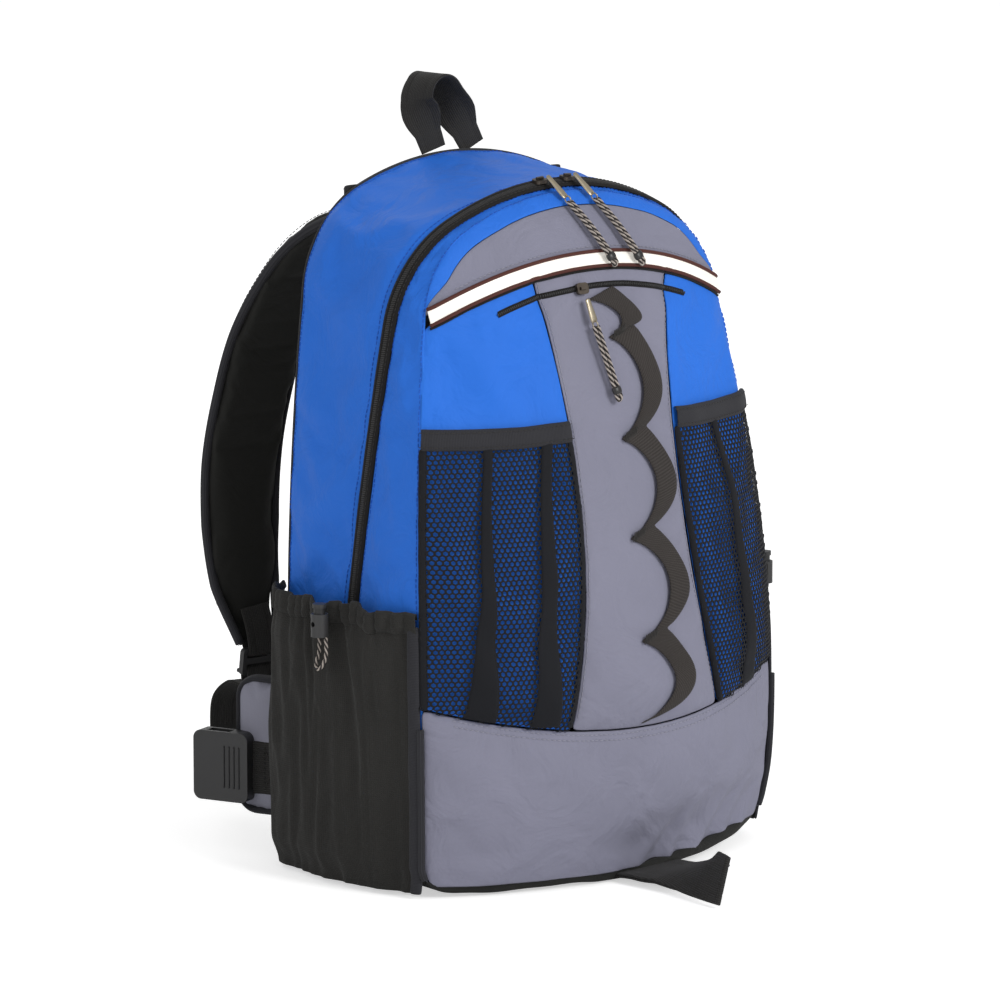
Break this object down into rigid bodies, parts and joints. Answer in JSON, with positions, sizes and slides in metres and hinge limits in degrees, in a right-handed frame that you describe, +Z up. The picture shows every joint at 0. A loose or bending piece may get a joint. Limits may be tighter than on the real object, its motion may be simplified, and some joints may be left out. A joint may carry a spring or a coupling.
{
  "type": "daypack",
  "caption": "Zip-opening daypack with mesh front pockets, stretch side pockets, padded shoulder straps, hip fins and a haul loop.",
  "frame": {"origin": "centre of the base panel's rest plane on the floor", "axes": "+Z up, the front face with its pockets towards -Y, the back panel and harness towards +Y, +X to the wearer's right"},
  "size_m": [0.3817, 0.4658, 0.5459],
  "materials": {
    "blue_ripstop": "woven polyester, satin",
    "grey_oxford": "woven polyester, matt",
    "black_fabric": "stretch weave, matt",
    "black_mesh": "open knitted mesh",
    "black_webbing": "ribbed webbing",
    "black_foam": "foam under spacer mesh",
    "zip_black": "coil zip on woven tape",
    "reflective": "reflective tape with dark piping",
    "moulded_black": "moulded acetal",
    "frame_plastic": "polyethylene sheet",
    "zip_metal": "lacquered die cast slider",
    "pull_cord": "braided two-tone cord on a metal tab",
    "lining": "coated lining"
  },
  "bodies": {
    "pack": {"base_panel": "black_fabric", "back_panel": "black_fabric", "frame_sheet": "frame_plastic", "back_pads": "black_foam", "lumbar_pad": "black_foam", "rear_gusset": "blue_ripstop", "main_zip_rear": "zip_black", "lower_side_left": "blue_ripstop", "lower_side_right": "blue_ripstop", "centre_panel_lower": "grey_oxford", "left_panel_lower": "blue_ripstop", "right_panel_lower": "blue_ripstop", "lower_panel": "grey_oxford", "left_mesh_lower": "black_mesh", "right_mesh_lower": "black_mesh", "daisy_chain_lower": "black_webbing", "side_pocket_left": "black_fabric", "side_pocket_right": "black_fabric", "pocket_hems": "black_fabric", "cord_lock_left": "moulded_black", "cord_lock_right": "moulded_black", "drawcords": "black_webbing", "strap_anchors": "black_webbing"},
    "front": {"front_gusset": "blue_ripstop", "main_zip_front": "zip_black", "cap_panel": "grey_oxford", "pocket_zip_tape": "zip_black", "reflective_stripe": "reflective", "centre_panel_upper": "grey_oxford", "left_panel_upper": "blue_ripstop", "right_panel_upper": "blue_ripstop", "left_mesh_upper": "black_mesh", "right_mesh_upper": "black_mesh", "mesh_bindings": "black_webbing", "daisy_chain_upper": "black_webbing", "pocket_backing": "lining"},
    "slider_left": {"main_slider_left": "zip_metal"},
    "slider_right": {"main_slider_right": "zip_metal"},
    "pull_left": {"main_pull_left": "pull_cord"},
    "pull_right": {"main_pull_right": "pull_cord"},
    "slider_pocket": {"pocket_slider": "zip_metal"},
    "pull_pocket": {"pocket_pull": "pull_cord"},
    "haul": {"haul_loop": "black_webbing"},
    "lash": {"lash_loop": "black_webbing"},
    "strap_left": {"shoulder_strap_left": "black_foam", "strap_webbing_left": "black_webbing"},
    "strap_right": {"shoulder_strap_right": "black_foam", "strap_webbing_right": "black_webbing"},
    "lock_left": {"ladder_lock_left": "moulded_black"},
    "lock_right": {"ladder_lock_right": "moulded_black"},
    "fin_left": {"hip_fin_left": "grey_oxford", "belt_webbing_left": "black_webbing", "buckle_socket": "moulded_black"},
    "fin_right": {"hip_fin_right": "grey_oxford", "belt_webbing_right": "black_webbing", "buckle_plug": "moulded_black"},
    "button_left": {"cord_button_left": "moulded_black"},
    "button_right": {"cord_button_right": "moulded_black"}
  },
  "joints": [
    {"name": "front_open", "type": "hinge", "parent": "pack", "child": "front", "pos_m": [0, -0.136, 0.19], "axis": [1, 0, 0], "range_deg": [0, 90]},
    {"name": "main_zip_left", "type": "hinge", "parent": "front", "child": "slider_left", "pos_m": [0, -0.01182, 0.27748], "axis": [0, 0.991, 0.134], "range_deg": [-20, 0]},
    {"name": "main_zip_right", "type": "hinge", "parent": "front", "child": "slider_right", "pos_m": [0, -0.01182, 0.27748], "axis": [0, 0.991, 0.134], "range_deg": [0, 15]},
    {"name": "main_pull_left_swing", "type": "hinge", "parent": "slider_left", "child": "pull_left", "pos_m": [-0.015, -0.0455, 0.4869], "axis": [-1, 0, 0], "range_deg": [0, 110]},
    {"name": "main_pull_right_swing", "type": "hinge", "parent": "slider_right", "child": "pull_right", "pos_m": [0.009, -0.0455, 0.4869], "axis": [-1, 0, 0], "range_deg": [0, 110]},
    {"name": "pocket_zip", "type": "hinge", "parent": "front", "child": "slider_pocket", "pos_m": [0, 0.03793, 0.21854], "axis": [0, 0.8473, 0.5312], "range_deg": [-19, 22]},
    {"name": "pocket_pull_swing", "type": "hinge", "parent": "slider_pocket", "child": "pull_pocket", "pos_m": [-0.0155, -0.0903, 0.4058], "axis": [-1, 0, 0], "range_deg": [0, 100]},
    {"name": "haul_fold", "type": "hinge", "parent": "pack", "child": "haul", "pos_m": [0, 0.079, 0.494], "axis": [1, 0, 0], "range_deg": [-75, 60]},
    {"name": "lash_lift", "type": "hinge", "parent": "pack", "child": "lash", "pos_m": [0, -0.126, 0.005], "axis": [-1, 0, 0], "range_deg": [0, 45]},
    {"name": "strap_left_swing", "type": "hinge", "parent": "pack", "child": "strap_left", "pos_m": [-0.06, 0.078, 0.446], "axis": [1, 0, 0], "range_deg": [0, 18]},
    {"name": "strap_right_swing", "type": "hinge", "parent": "pack", "child": "strap_right", "pos_m": [0.06, 0.078, 0.446], "axis": [1, 0, 0], "range_deg": [0, 18]},
    {"name": "lock_left_tilt", "type": "hinge", "parent": "strap_left", "child": "lock_left", "pos_m": [-0.078, 0.204, 0.123], "axis": [1, 0, 0], "range_deg": [0, 25]},
    {"name": "lock_right_tilt", "type": "hinge", "parent": "strap_right", "child": "lock_right", "pos_m": [0.078, 0.204, 0.123], "axis": [1, 0, 0], "range_deg": [0, 25]},
    {"name": "fin_left_swing", "type": "hinge", "parent": "pack", "child": "fin_left", "pos_m": [-0.134, 0.08, 0.0765], "axis": [0, 0, 1], "range_deg": [0, 40]},
    {"name": "fin_right_swing", "type": "hinge", "parent": "pack", "child": "fin_right", "pos_m": [0.134, 0.08, 0.0765], "axis": [0, 0, -1], "range_deg": [0, 40]},
    {"name": "button_left_press", "type": "slide", "parent": "pack", "child": "button_left", "axis": [0, 0, -1], "range_m": [0, 0.003], "stiffness_N_per_m": 120, "springref_m": -0.001},
    {"name": "button_right_press", "type": "slide", "parent": "pack", "child": "button_right", "axis": [0, 0, -1], "range_m": [0, 0.003], "stiffness_N_per_m": 120, "springref_m": -0.001}
  ]
}
